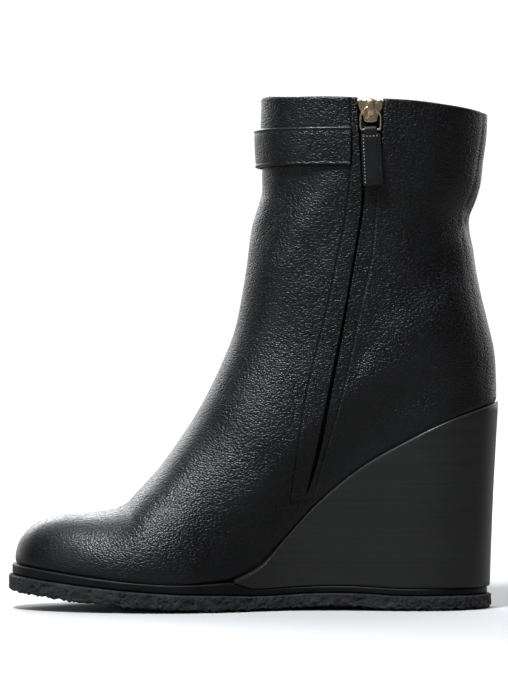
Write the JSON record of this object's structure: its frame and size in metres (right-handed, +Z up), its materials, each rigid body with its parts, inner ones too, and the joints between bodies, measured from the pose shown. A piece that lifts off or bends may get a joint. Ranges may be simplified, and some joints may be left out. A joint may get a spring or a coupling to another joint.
{
  "type": "ankle boot",
  "caption": "Right ankle boot of grained black leather on a tall stacked wedge, with an inner side zip, a collar strap and a crepe outsole.",
  "frame": {"origin": "middle of the boot's length and width, on the ground that it stands on", "axes": "+Z up, toe at -X, heel at +X, the inner side with the zip at -Y"},
  "size_m": [0.2372, 0.0899, 0.2472],
  "materials": {
    "crepe": "rough crumbed crepe",
    "midsole": "smooth satin",
    "wedge": "polished stacked layers",
    "insole": "short dark pile",
    "upper_leather": "pebbled semi-gloss",
    "strap_leather": "pebbled semi-gloss",
    "zip_tape": "woven",
    "zip_chain": "moulded teeth",
    "gold_metal": "polished",
    "gold_wire": "polished",
    "tab_leather": "pebbled semi-gloss"
  },
  "bodies": {
    "boot": {"outsole": "crepe", "midsole": "midsole", "wedge": "wedge", "insole": "insole", "upper": "upper_leather", "strap": "strap_leather", "zip_tape": "zip_tape", "zip_chain": "zip_chain", "zip_slider": "gold_metal"},
    "pull": {"pull_ring": "gold_wire", "pull_tab": "tab_leather"}
  },
  "joints": [
    {"name": "pull_swing", "type": "hinge", "parent": "boot", "child": "pull", "pos_m": [0.05561, -0.03551, 0.23995], "axis": [-1, 0, 0], "range_deg": [0, 150]}
  ]
}
